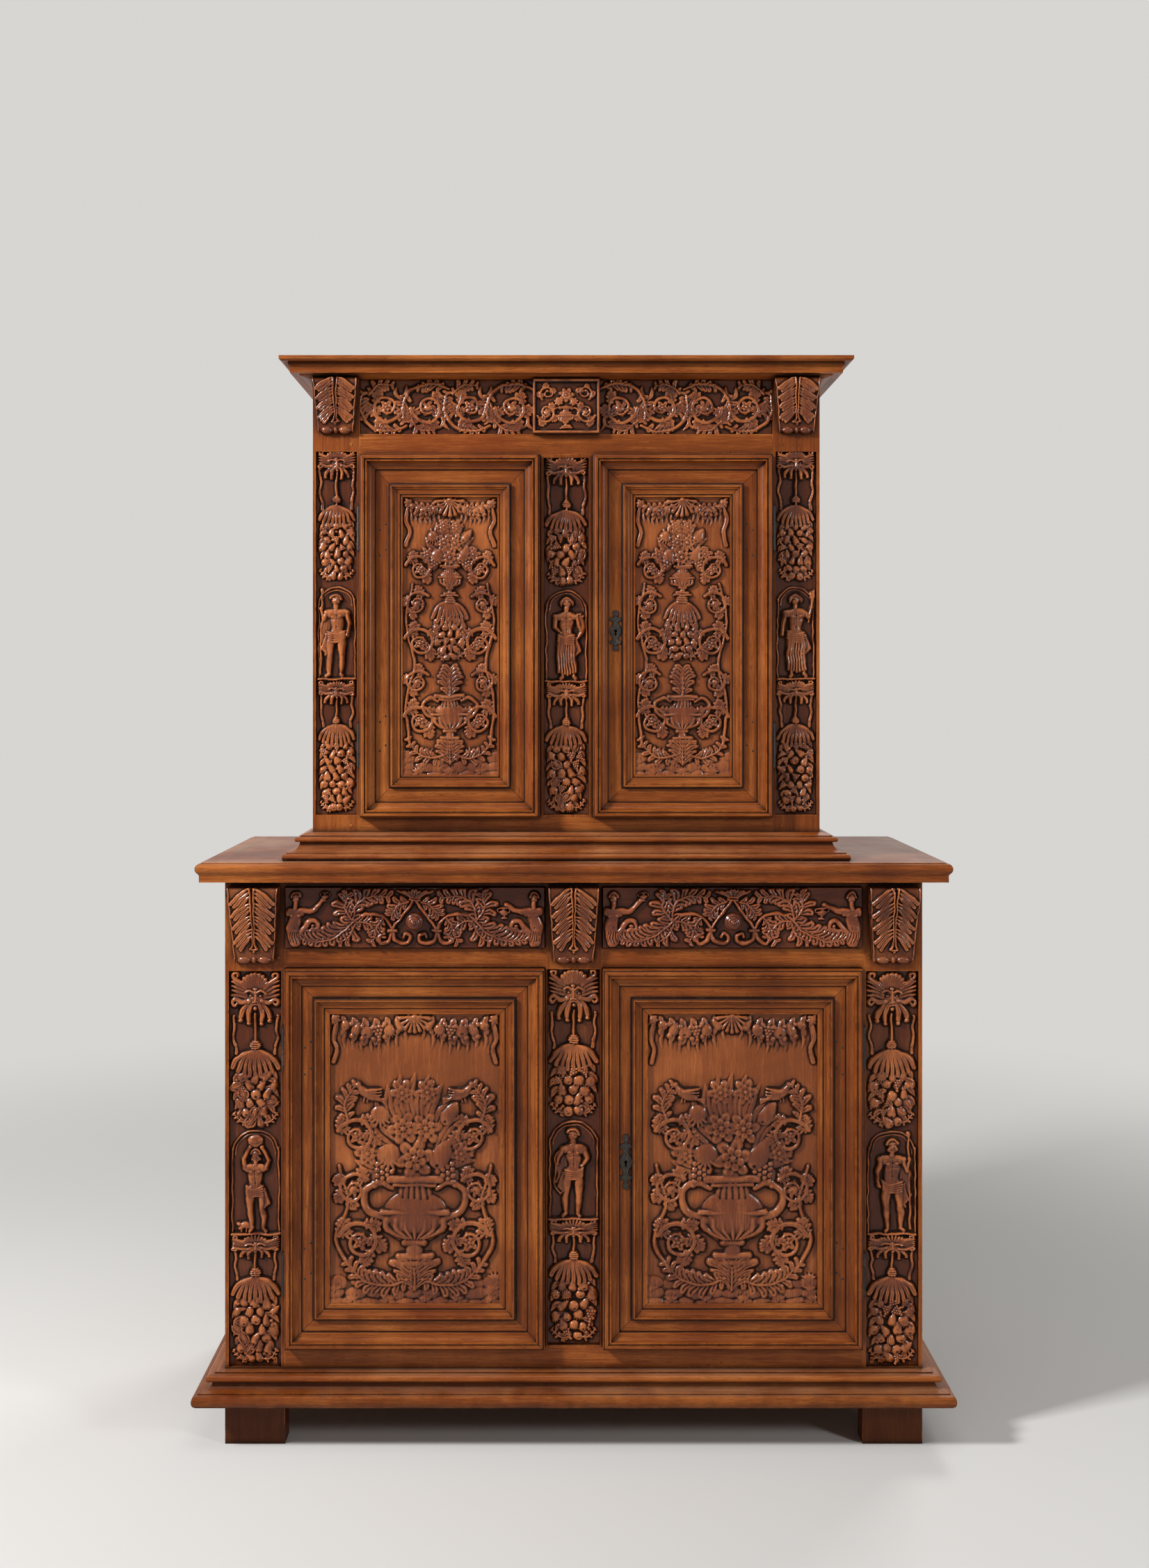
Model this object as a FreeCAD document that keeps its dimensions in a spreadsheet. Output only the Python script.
import FreeCAD, Part
import math
import os
import re

import Sketcher

# A carved walnut cabinet in two bodies: a wide lower cupboard with two drawers and two doors, and
# a narrower upper cupboard with two doors. Millimetres, +Z up, front towards -Y, origin under the
# middle of the whole object's footprint.

SIZES = {
    # lower case
    "lower_width": 1340,
    "lower_depth": 497,
    "base_overhang": 54,
    "feet_height": 90,
    "base_height": 55,
    "base_rail_height": 96,
    "lower_door_opening": 730,
    "drawer_rail_height": 37,
    "drawer_opening": 119,
    "lower_top_rail": 12,
    "ledge_thickness": 37,
    "ledge_overhang": 48,
    "side_stile_width": 115,
    "middle_stile_width": 108,
    "frame_thickness": 48,
    "rear_stile_width": 48,
    "rear_stile_thickness": 36,
    "side_frame_thickness": 24,
    "side_top_rail_height": 90,
    "side_panel_thickness": 12,
    "groove_depth": 8,
    "back_board_thickness": 12,
    "back_rail_thickness": 24,
    "back_rail_height": 60,
    "board_thickness": 22,
    "shelf_thickness": 20,
    "cleat_size": 20,
    "lower_shelf_height": 359,
    # joints in the frames
    "tenon_thickness": 14,
    "tenon_length": 36,
    "tenon_shoulder": 8,
    "tenon_setback": 22,
    "side_tenon_thickness": 8,
    "side_tenon_length": 20,
    "peg_radius": 3.5,
    "peg_length": 40,
    "peg_proud": 0.8,
    "peg_edge": 14,
    # carved sinkings in the stiles
    "carving_depth": 9,
    "carving_margin": 7,
    "carving_bottom_margin": 58,
    "middle_carving_margin": 3.5,
    # brackets
    "lower_bracket_width": 98,
    "lower_bracket_height": 147,
    "lower_bracket_proud": 40,
    "upper_bracket_width": 89,
    "upper_bracket_height": 106,
    "upper_bracket_proud": 34,
    "bracket_taper": 10,
    "bead_core_radius": 4.5,
    "bead_swell": 2.7,
    # upper case
    "upper_width": 988,
    "upper_setback": 44,
    "upper_shift": -14,
    "plinth_overhang": 52,
    "plinth_height": 51.5,
    "upper_base_rail_height": 79,
    "upper_door_opening": 708,
    "upper_rail_height": 40,
    "frieze_height": 106,
    "head_rail_height": 22,
    "cornice_height": 37.5,
    "cornice_overhang": 57,
    "upper_side_stile_width": 92,
    "upper_middle_stile_width": 100,
    "upper_carving_margin": 6,
    "upper_shelf_height": 365,
    "frieze_panel_thickness": 18,
    "frieze_recess": 6,
    "frieze_block_width": 129,
    "frieze_block_proud": 15,
    # doors
    "door_gap": 1.8,
    "door_thickness": 30,
    "door_flat_proud": 10,
    "door_band": 86,
    "door_panel_thickness": 12,
    "door_panel_recess": 7,
    "field_margin": 3,
    "field_proud": 5,
    "lower_outer_band": 32,
    "lower_outer_proud": 14,
    "lower_inner_set": 56,
    "lower_inner_band": 19,
    "lower_inner_proud": 8,
    "upper_door_band": 82,
    "upper_outer_band": 29,
    "upper_outer_proud": 19,
    "upper_inner_set": 58,
    "upper_inner_band": 19,
    "upper_inner_proud": 8,
    # hinges
    "hinge_offset": 4,
    "hinge_stand": 4,
    "barrel_radius": 3.7,
    "pin_radius": 2,
    "pin_clearance": 0.06,
    "pin_head_radius": 3.3,
    "pin_head_height": 3,
    "leaf_thickness": 1.8,
    "leaf_depth": 26,
    "leaf_reach": 3,
    "leaf_inset": 0.4,
    "knuckle_gap": 0.3,
    "lower_hinge_length": 75,
    "upper_hinge_length": 80,
    "lower_hinge_foot_margin": 104.5,
    "lower_hinge_head_margin": 116.5,
    "upper_hinge_foot_margin": 101,
    "upper_hinge_head_margin": 104,
    # locks and bolts
    "lock_width": 58,
    "lock_height": 64,
    "lock_thickness": 14,
    "lock_edge": 6,
    "bolt_width": 12,
    "bolt_thickness": 7,
    "bolt_length": 46,
    "bolt_clearance": 0.3,
    "bolt_travel": 16,
    "mortise_spare": 2,
    "mortise_clearance": 0.6,
    "lower_lock_drop": 6,
    "upper_lock_rise": 10,
    "escutcheon_edge": 44,
    "escutcheon_height": 105,
    "escutcheon_width": 23,
    "escutcheon_thickness": 1.6,
    "upper_escutcheon_height": 78,
    "keyhole_radius": 3,
    "keyhole_slot": 3,
    "keyhole_drop": 9,
    "slide_bolt_radius": 4,
    "slide_bolt_length": 110,
    "slide_bolt_edge": 20,
    "slide_bolt_stand": 8,
    "slide_bolt_down": 3,
    "slide_bolt_travel": 13,
    "slide_bolt_knob": 9,
    "slide_bolt_clearance": 0.3,
    "staple_width": 22,
    "staple_height": 14,
    "staple_depth": 15,
    "staple_spread": 62,
    # drawers
    "drawer_gap": 1.6,
    "drawer_front_thickness": 28,
    "drawer_proud": 15.5,
    "drawer_depth": 410,
    "drawer_side_height": 96,
    "drawer_side_thickness": 12,
    "drawer_bottom_thickness": 8,
    "drawer_bottom_level": 8,
    "drawer_bottom_groove": 5,
    "drawer_lift": 0.3,
    "runner_width": 46,
    "runner_thickness": 20,
    "guide_height": 24,
    "guide_clearance": 0.6,
    "knob_height": 53,
    "knob_radius": 13.5,
    "knob_length": 27,
    "knob_spigot_radius": 5,
    "knob_spigot_length": 18,
    # cutting
    "overrun": 5,
}

FORMULAS = {
    "lower_half": "lower_width / 2",
    "back_plane": "(lower_depth + base_overhang) / 2",
    "front_plane": "back_plane - lower_depth",
    "frame_back": "front_plane + frame_thickness",
    "rear_stile_front": "back_plane - rear_stile_thickness",
    "opening_side": "lower_half - side_stile_width",
    "middle_half": "middle_stile_width / 2",
    "base_rail_top": "feet_height + base_rail_height",
    "drawer_rail_low": "base_rail_top + lower_door_opening",
    "drawer_low": "drawer_rail_low + drawer_rail_height",
    "drawer_high": "drawer_low + drawer_opening",
    "ledge_low": "drawer_high + lower_top_rail",
    "ledge_high": "ledge_low + ledge_thickness",
    "back_board_front": "back_plane - back_board_thickness",
    "back_rail_front": "back_board_front - back_rail_thickness",
    "side_inner": "lower_half - side_frame_thickness",
    "side_panel_out": "lower_half - (side_frame_thickness - side_panel_thickness) / 2",
    "side_panel_in": "side_panel_out - side_panel_thickness",
    "side_tenon_in": "lower_half - (side_frame_thickness + side_tenon_thickness) / 2",
    "side_tenon_out": "side_tenon_in + side_tenon_thickness",
    "tenon_front": "front_plane + tenon_setback",
    "tenon_back": "tenon_front + tenon_thickness",
    "back_tenon_front": "back_rail_front + (back_rail_thickness - tenon_thickness) / 2",
    "back_tenon_back": "back_tenon_front + tenon_thickness",
    "lower_door_width": "opening_side - middle_half - 2 * door_gap",
    "lower_door_height": "lower_door_opening - 2 * door_gap",
    "lower_door_middle": "(opening_side + middle_half) / 2",
    "lower_door_level": "base_rail_top + lower_door_opening / 2",
    "lower_shelf_level": "base_rail_top + lower_shelf_height",
    "lower_lock_level": "lower_door_level - lower_lock_drop",
    "lower_hinge_low": "base_rail_top + lower_hinge_foot_margin",
    "lower_hinge_high": "drawer_rail_low - lower_hinge_head_margin - lower_hinge_length",
    "upper_half": "upper_width / 2",
    "upper_front": "front_plane + upper_setback",
    "upper_frame_back": "upper_front + frame_thickness",
    "upper_opening_side": "upper_half - upper_side_stile_width",
    "upper_middle_half": "upper_middle_stile_width / 2",
    "upper_rail_top": "ledge_high + upper_base_rail_height",
    "upper_head_low": "upper_rail_top + upper_door_opening",
    "frieze_low": "upper_head_low + upper_rail_height",
    "frieze_high": "frieze_low + frieze_height",
    "case_top": "frieze_high + head_rail_height",
    "cornice_top": "frieze_high + cornice_height",
    "upper_tenon_front": "upper_front + tenon_setback",
    "upper_tenon_back": "upper_tenon_front + tenon_thickness",
    "upper_side_inner": "upper_half - side_frame_thickness",
    "upper_panel_out": "upper_half - (side_frame_thickness - side_panel_thickness) / 2",
    "upper_panel_in": "upper_panel_out - side_panel_thickness",
    "upper_side_tenon_in": "upper_half - (side_frame_thickness + side_tenon_thickness) / 2",
    "upper_side_tenon_out": "upper_side_tenon_in + side_tenon_thickness",
    "upper_door_width": "upper_opening_side - upper_middle_half - 2 * door_gap",
    "upper_door_height": "upper_door_opening - 2 * door_gap",
    "upper_door_middle": "(upper_opening_side + upper_middle_half) / 2",
    "upper_door_level": "upper_rail_top + upper_door_opening / 2",
    "upper_shelf_level": "upper_rail_top + upper_shelf_height",
    "upper_lock_level": "upper_door_level + upper_lock_rise",
    "upper_hinge_low": "upper_rail_top + upper_hinge_foot_margin",
    "upper_hinge_high": "upper_head_low - upper_hinge_head_margin - upper_hinge_length",
    "door_set": "door_thickness - door_flat_proud",
    "panel_high": "door_thickness - door_panel_recess",
    "panel_low": "panel_high - door_panel_thickness",
    "bore_radius": "pin_radius + pin_clearance",
    "leaf_outer": "hinge_offset - door_gap",
    "drawer_width": "opening_side - middle_half - 2 * drawer_gap",
    "drawer_front_back": "front_plane - drawer_proud + drawer_front_thickness",
    "drawer_back": "drawer_front_back + drawer_depth",
    "bead_row_height": "bead_swell + 3 * bead_core_radius / 2",
    "lower_console_height": "lower_bracket_height - bead_row_height",
    "upper_console_height": "upper_bracket_height - bead_row_height",
}

doc = FreeCAD.newDocument("cabinet")
sheet = doc.addObject("Spreadsheet::Sheet", "Sizes")
row = 0
for word, number in list(SIZES.items()) + [(name, "=" + text) for name, text in FORMULAS.items()]:
    row += 1
    sheet.set(f"A{row}", word)
    sheet.set(f"B{row}", str(number))
    sheet.setAlias(f"B{row}", word)
scratch_cell = f"C{row + 1}"
doc.recompute()

WORDS = set(SIZES) | set(FORMULAS)
AXES = {"x": FreeCAD.Vector(1, 0, 0), "y": FreeCAD.Vector(0, 1, 0), "z": FreeCAD.Vector(0, 0, 1)}
QUARTER_TURN = 90
FULL_TURN = 360


def named(text):
    """Write an expression with the sheet's name before each size"""
    return re.sub(r"[a-z_]+", lambda found: prefixed(found.group(0)), str(text))


def prefixed(word):
    return f"Sizes.{word}" if word in WORDS else word


def value(text):
    """Work out an expression of sizes in a spare cell"""
    sheet.set(scratch_cell, f"={text}")
    sheet.recompute()
    return float(sheet.get(scratch_cell))


def bind(item, **settings):
    """Tie properties to expressions of sizes"""
    for prop, text in settings.items():
        item.setExpression(prop.replace("__", "."), named(text))
    return item


def placed(item, x="0", y="0", z="0"):
    return bind(item, Placement__Base__x=x, Placement__Base__y=y, Placement__Base__z=z)


def turned(item, axis, degrees):
    item.Placement = FreeCAD.Placement(FreeCAD.Vector(), FreeCAD.Rotation(AXES[axis], degrees))
    return item


def board(name, across, deep, tall):
    """A plain board from its low and high planes on each axis"""
    box = doc.addObject("Part::Box", name)
    bind(box, Length=f"({across[1]}) - ({across[0]})")
    bind(box, Width=f"({deep[1]}) - ({deep[0]})")
    bind(box, Height=f"({tall[1]}) - ({tall[0]})")
    return placed(box, across[0], deep[0], tall[0])


def rod(name, radius, length, x="0", y="0", z="0", axis="z"):
    """A cylinder that starts at a point and runs along one axis"""
    body = doc.addObject("Part::Cylinder", name)
    bind(body, Radius=radius, Height=length)
    if axis == "x":
        turned(body, "y", QUARTER_TURN)
    if axis == "y":
        turned(body, "x", -QUARTER_TURN)
    return placed(body, x, y, z)


def ball(name, radius, x="0", y="0", z="0"):
    body = bind(doc.addObject("Part::Sphere", name), Radius=radius)
    return placed(body, x, y, z)


def fuse(name, pieces):
    body = doc.addObject("Part::MultiFuse", name)
    body.Shapes = pieces
    body.Refine = True
    return body


def cut(name, base, tools):
    """Take every tool away from the base"""
    body = doc.addObject("Part::Cut", name)
    body.Base = base
    body.Tool = tools[0] if len(tools) == 1 else together(f"{name}_tools", tools)
    return body


def together(name, pieces):
    group = doc.addObject("Part::Compound", name)
    group.Links = pieces
    return group


def mirrored(name, source):
    """The left-hand twin of a right-hand piece"""
    twin = doc.addObject("Part::Mirroring", name)
    twin.Source = source
    twin.Normal = AXES["x"]
    return twin


def pair(name, source):
    return [source, mirrored(f"{name}_twin", source)]


def node(name, pieces, x="0", y="0", z="0"):
    """A named sub-part of one or more solids"""
    group = together(f"{name}_node", pieces)
    group.Label = name
    nodes.append(group)
    return placed(group, x, y, z)


def plane(body, role):
    return next(part for part in body.Origin.OriginFeatures if part.Role == role)


def sketch_on(body, name, role):
    sketch = body.newObject("Sketcher::SketchObject", name)
    sketch.AttachmentSupport = [(plane(body, role), "")]
    sketch.MapMode = "FlatFace"
    return sketch


def add_outline(sketch, corners):
    """Close an outline through corners (x, y) or (x, y, bulge): bulge is the rise of the arc that
    follows the corner, as a share of its chord, and is positive where the arc swells outwards"""
    spots = [(value(corner[0]), value(corner[1])) for corner in corners]
    count = len(spots)
    swing = sum(a[0] * b[1] - b[0] * a[1] for a, b in zip(spots, spots[1:] + spots[:1]))
    first = len(sketch.Geometry)
    starts = []
    for index, corner in enumerate(corners):
        start = spots[index]
        end = spots[(index + 1) % count]
        bulge = corner[2] if len(corner) > 2 else 0
        if bulge:
            counter = bulge > 0 if swing > 0 else bulge < 0
            sketch.addGeometry(arc_between(start, end, abs(bulge), counter), False)
            starts.append(1 if counter else 2)
        else:
            sketch.addGeometry(Part.LineSegment(FreeCAD.Vector(*start, 0), FreeCAD.Vector(*end, 0)), False)
            starts.append(1)
    for index in range(count):
        following = (index + 1) % count
        sketch.addConstraint(Sketcher.Constraint(
            "Coincident", first + index, 3 - starts[index], first + following, starts[following]))
    for index, corner in enumerate(corners):
        fix_corner(sketch, first + index, starts[index], corner, spots[index])
        if len(corner) > 2 and corner[2]:
            fix_radius(sketch, first + index, corner, corners[(index + 1) % count])


def arc_between(start, end, rise_share, counter):
    """The arc from start to end, or from end to start where it runs clockwise"""
    if not counter:
        start, end = end, start
    chord = math.dist(start, end)
    rise = rise_share * chord
    radius = (chord * chord / 4 + rise * rise) / (2 * rise)
    along = ((end[0] - start[0]) / chord, (end[1] - start[1]) / chord)
    back = radius - rise
    centre = ((start[0] + end[0]) / 2 - along[1] * back, (start[1] + end[1]) / 2 + along[0] * back)
    from_angle = math.atan2(start[1] - centre[1], start[0] - centre[0])
    to_angle = math.atan2(end[1] - centre[1], end[0] - centre[0])
    if to_angle < from_angle:
        to_angle += 2 * math.pi
    circle = Part.Circle(FreeCAD.Vector(*centre, 0), AXES["z"], radius)
    return Part.ArcOfCircle(circle, from_angle, to_angle)


def fix_corner(sketch, edge, end, corner, spot):
    if spot[0] == 0 and spot[1] == 0:
        sketch.addConstraint(Sketcher.Constraint("Coincident", edge, end, -1, 1))
        return
    rules = (("DistanceX", -2, spot[0], corner[0]), ("DistanceY", -1, spot[1], corner[1]))
    for kind, axis, place, text in rules:
        if place == 0:
            sketch.addConstraint(Sketcher.Constraint("PointOnObject", edge, end, axis))
        else:
            rule = sketch.addConstraint(Sketcher.Constraint(kind, -1, 1, edge, end, place))
            sketch.setExpression(f"Constraints[{rule}]", named(text))


def fix_radius(sketch, edge, corner, following):
    rise_share = abs(corner[2])
    radius_share = (rise_share ** 2 + 1 / 4) / (2 * rise_share)
    chord = (f"sqrt((({following[0]}) - ({corner[0]})) ^ 2 + (({following[1]}) - ({corner[1]})) ^ 2)")
    rule = sketch.addConstraint(Sketcher.Constraint("Radius", edge, value(f"{chord} * {radius_share}")))
    sketch.setExpression(f"Constraints[{rule}]", named(f"{chord} * {radius_share}"))


def extrusion(name, outline, run, cutters=(), cutter_plane="XZ_Plane", profile_plane="YZ_Plane"):
    """A length with one profile, centred on its run, less the wedges cut through it"""
    body = doc.addObject("PartDesign::Body", name)
    profile = sketch_on(body, f"{name}_profile", profile_plane)
    add_outline(profile, outline)
    pad = body.newObject("PartDesign::Pad", f"{name}_pad")
    pad.Profile = profile
    pad.Midplane = True
    bind(pad, Length=run)
    if cutters:
        wedges = sketch_on(body, f"{name}_wedges", cutter_plane)
        for corners in cutters:
            add_outline(wedges, corners)
        pocket = body.newObject("PartDesign::Pocket", f"{name}_pocket")
        pocket.Profile = wedges
        pocket.Type = "ThroughAll"
        pocket.Midplane = True
    return body


def mitre(run, band, side, plane_sign):
    """The wedge beyond a mitre at one end of a length; side is 1 or -1 along the run, and the
    band lies on the plane_sign side of the run's line"""
    end = f"({run}) / 2"
    corners = [
        (f"({end} + overrun) * {side}", f"-overrun * {plane_sign}"),
        (f"({end} - ({band}) - overrun) * {side}", f"(({band}) + overrun) * {plane_sign}"),
        (f"({end} + overrun) * {side}", f"(({band}) + overrun) * {plane_sign}"),
    ]
    return corners


def wrapped_mitre(run, out, side):
    """The wedge beyond the mitre of a moulding that wraps an outside corner"""
    end = f"({run}) / 2"
    return [
        (f"({end} - ({out}) - overrun) * {side}", "overrun"),
        (f"({end} + overrun) * {side}", f"-({out}) - overrun"),
        (f"({end} + overrun) * {side}", "overrun"),
    ]


def outline_of(shares, out, tall):
    """Corners of a moulding from shares of how far it stands out and how tall it is"""
    return [(f"-({out}) * {corner[0]}", f"({tall}) * {corner[1]}") + corner[2:] for corner in shares]


def case_moulding(name, shares, out, tall, half, depth, front, level, core=None, shift="0"):
    """Three mitred lengths round the front and sides of a case"""
    outline = outline_of(shares, out, tall)
    front_run = f"2 * {half} + 2 * {out}"
    side_run = f"{depth} + {out}"
    front_mitres = [wrapped_mitre(front_run, out, 1), wrapped_mitre(front_run, out, -1)]
    front_length = extrusion(f"{name}_front", outline, front_run, front_mitres, "XY_Plane")
    side_mitres = [wrapped_mitre(side_run, out, -1)]
    side_length = extrusion(f"{name}_side", outline, side_run, side_mitres, "XY_Plane")
    front_piece = placed(together(f"{name}_front_place", [front_length]), "0", front, level)
    side_piece = turned(together(f"{name}_side_place", [side_length]), "z", QUARTER_TURN)
    placed(side_piece, half, f"{front} - {out} + ({side_run}) / 2", level)
    pieces = [front_piece] + pair(f"{name}_side", side_piece)
    return node(name, pieces + ([core] if core else []), shift)


def ring(name, outline, wide, tall, band):
    """Four mitred lengths round a rectangle centred on the origin, outer edges first"""
    pieces = []
    for way, run, reach, turns in (("level", wide, tall, (0, 2)), ("upright", tall, wide, (-1, 1))):
        length = extrusion(f"{name}_{way}", outline, run, [mitre(run, band, 1, 1), mitre(run, band, -1, 1)])
        for turn in turns:
            piece = turned(together(f"{name}_{way}_{turn + 1}", [length]), "y", turn * QUARTER_TURN)
            offset = f"({reach}) / 2"
            if turn == 0:
                placed(piece, z=f"-{offset}")
            if turn == 2:
                placed(piece, z=offset)
            if turn == -1:
                placed(piece, x=offset)
            if turn == 1:
                placed(piece, x=f"-{offset}")
            pieces.append(piece)
    return pieces


nodes = []

# Shares of the outward reach and of the height, from the wall's foot round to its head.
base_moulding_shares = [
    (0, 0), (0.90, 0), (0.90, 0.04), (0.94, 0.04, 0.16), (0.94, 0.40), (0.80, 0.42), (0.80, 0.455),
    (0.56, 0.455, -0.18), (0.37, 0.69), (0.37, 0.727), (0.50, 0.727, 0.3), (0.50, 0.945),
    (0.30, 0.96), (0.30, 1.0), (0, 1.0)]
plinth_moulding_shares = [
    (0, 0), (0.94, 0, 0.24), (0.94, 0.233), (0.86, 0.26), (0.86, 0.30), (0.76, 0.30, -0.16),
    (0.42, 0.62), (0.42, 0.67), (0.54, 0.67, 0.3), (0.54, 0.835), (0.40, 0.86), (0.40, 0.90),
    (0.15, 1.0), (0, 1.0)]
cornice_moulding_shares = [
    (0, 0), (0.14, 0.03), (0.35, 0.11, 0.12), (0.40, 0.173), (0.675, 0.173), (0.69, 0.49),
    (0.73, 0.52), (0.73, 0.72), (0.86, 0.72, 0.2), (0.98, 0.80), (1.0, 0.80), (1.0, 0.973), (0.9, 1.0),
    (0, 1.0)]
ledge_edge_shares = [
    (0, 0), (0.86, 0), (0.86, 0.36), (0.89, 0.40), (0.90, 0.44, 0.26), (0.90, 0.94), (0.78, 0.94),
    (0.76, 1.0), (0, 1.0)]
# Shares of how proud a door moulding stands and of its band, from its outer edge inwards.
outer_moulding_shares = [
    (0, 0), (0.62, 0), (0.66, 0.03, 0.18), (1.0, 0.16), (1.0, 0.30), (0.86, 0.31), (0.86, 0.40),
    (0.94, 0.42), (0.94, 0.48), (0.80, 0.50, -0.2), (0.20, 0.90), (0.16, 1.0), (0, 1.0)]
inner_moulding_shares = [
    (0, 0), (0.85, 0), (1.0, 0.10), (1.0, 0.26), (0.70, 0.30), (0.66, 0.44, -0.22), (0.18, 0.84),
    (0.18, 1.0), (0, 1.0)]


def tenoned(name, main, tenons):
    """A rail or stile with its tenons"""
    return fuse(name, [main] + tenons)


def between_stiles(name, low, high, inner, outer, tenon_low, tenon_high, deep, tenon_deep):
    """A front rail from -inner to inner whose tenons reach into the stiles outside it"""
    main = board(f"{name}_body", (f"-({inner})", inner), deep, (low, high))
    right = board(f"{name}_tenon", (inner, outer), tenon_deep, (tenon_low, tenon_high))
    ends = pair(f"{name}_tenon", right)
    return tenoned(name, main, ends), ends


LOWER_FRONT = ("front_plane", "frame_back")
LOWER_TENON = ("tenon_front", "tenon_back")
UPPER_FRONT = ("upper_front", "upper_frame_back")
UPPER_TENON = ("upper_tenon_front", "upper_tenon_back")


def pegs_at(name, places, front):
    """Pegs that lock the tenons, seen as small round ends on the face"""
    return [rod(f"{name}_{index}", "peg_radius", "peg_length", x, f"{front} - peg_proud", z, "y")
            for index, (x, z) in enumerate(places)]


def hinge(name, length):
    """One butt hinge about a vertical pin at the origin, for a door on its +X side; the frame
    leaf lies against the stile's edge and the door leaf is let into the door's edge"""
    third = f"{length} / 3"
    leaf_in = ("leaf_inset", "leaf_outer")
    knuckles = [rod(f"{name}_low", "barrel_radius", third),
                rod(f"{name}_high", "barrel_radius", third, z=f"{length} - {third}"),
                board(f"{name}_leaf", leaf_in, ("hinge_stand", "hinge_stand + leaf_depth"), ("0", length)),
                board(f"{name}_low_arm", leaf_in, ("0", "hinge_stand"), ("0", third)),
                board(f"{name}_high_arm", leaf_in, ("0", "hinge_stand"), (f"{length} - {third}", length))]
    tight = rod(f"{name}_tight_bore", "pin_radius", f"{length} + 2 * overrun", z="-overrun")
    frame_leaf = cut(f"{name}_frame_leaf", fuse(f"{name}_frame_solid", knuckles), [tight])
    middle = (f"{third} + knuckle_gap", f"{length} - {third} - knuckle_gap")
    plate = ("hinge_offset", "hinge_offset + leaf_thickness")
    moving = [rod(f"{name}_middle", "barrel_radius", f"{middle[1]} - ({middle[0]})", z=middle[0]),
              board(f"{name}_arm", ("0", plate[1]), ("-leaf_reach", "0"), middle),
              board(f"{name}_plate", plate, ("-leaf_reach", "leaf_depth"), ("0", length))]
    loose = rod(f"{name}_loose_bore", "bore_radius", f"{length} + 2 * overrun", z="-overrun")
    door_leaf = cut(f"{name}_door_leaf", fuse(f"{name}_door_solid", moving), [loose])
    pin = fuse(f"{name}_pin", [rod(f"{name}_shank", "pin_radius", length),
                               rod(f"{name}_head", "pin_head_radius", "pin_head_height", z=length),
                               rod(f"{name}_foot", "pin_head_radius", "pin_head_height",
                                   z="-pin_head_height")])
    return frame_leaf, door_leaf, pin


def hinge_places(name, source, x, y, levels):
    """Copies of one hinge piece at its levels on the left-hand side, and their right-hand twins"""
    left = [placed(together(f"{name}_{index}", [source]), f"-({x})", y, level)
            for index, level in enumerate(levels)]
    right = [mirrored(f"{name}_right_{index}", piece) for index, piece in enumerate(left)]
    return left, right


HINGE_LEVELS = {"lower": ("lower_hinge_low", "lower_hinge_high"),
                "upper": ("upper_hinge_low", "upper_hinge_high")}
HINGE_X = {"lower": "opening_side + leaf_outer", "upper": "upper_opening_side + leaf_outer"}
HINGE_Y = {"lower": "front_plane - hinge_stand", "upper": "upper_front - hinge_stand"}

frame_leaves = {}
door_leaves = {}
pins = {}
for tier in ("lower", "upper"):
    parts = hinge(f"{tier}_hinge", f"{tier}_hinge_length")
    for store, kind, part in zip((frame_leaves, door_leaves, pins), ("frame", "door", "pin"), parts):
        store[tier] = hinge_places(f"{tier}_{kind}_leaf", part, HINGE_X[tier], HINGE_Y[tier],
                                   HINGE_LEVELS[tier])

# Lower case: rails, stiles and their mortises.
lower_bottom_rail, bottom_tenons = between_stiles(
    "lower_bottom_rail", "feet_height", "base_rail_top", "opening_side", "opening_side + tenon_length",
    "feet_height + tenon_shoulder", "base_rail_top - tenon_shoulder", LOWER_FRONT, LOWER_TENON)
lower_top_rail, top_tenons = between_stiles(
    "lower_top_rail_piece", "drawer_high", "ledge_low", "opening_side", "opening_side + tenon_length",
    "drawer_high", "ledge_low", LOWER_FRONT, LOWER_TENON)
drawer_rail_body = board("drawer_rail_body", ("middle_half", "opening_side"), LOWER_FRONT,
                         ("drawer_rail_low", "drawer_low"))
drawer_tenon_level = ("drawer_rail_low + tenon_shoulder", "drawer_low - tenon_shoulder")
drawer_outer_tenon = board("drawer_outer_tenon", ("opening_side", "opening_side + tenon_length"),
                           LOWER_TENON, drawer_tenon_level)
drawer_inner_tenon = board("drawer_inner_tenon", ("middle_half - tenon_length", "middle_half"),
                           LOWER_TENON, drawer_tenon_level)
drawer_rail = tenoned("drawer_rail", drawer_rail_body, [drawer_outer_tenon, drawer_inner_tenon])
middle_body = board("lower_middle_body", ("-middle_half", "middle_half"), LOWER_FRONT,
                    ("base_rail_top", "drawer_high"))
middle_foot = board("lower_middle_foot", ("-tenon_length", "tenon_length"), LOWER_TENON,
                    ("base_rail_top - tenon_length", "base_rail_top"))
middle_head = board("lower_middle_head", ("-tenon_length", "tenon_length"), LOWER_TENON,
                    ("drawer_high", "ledge_low"))

# Lower side frames.
SIDE_RAIL = ("side_inner", "lower_half")
SIDE_TENON = ("side_tenon_in", "side_tenon_out")


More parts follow.
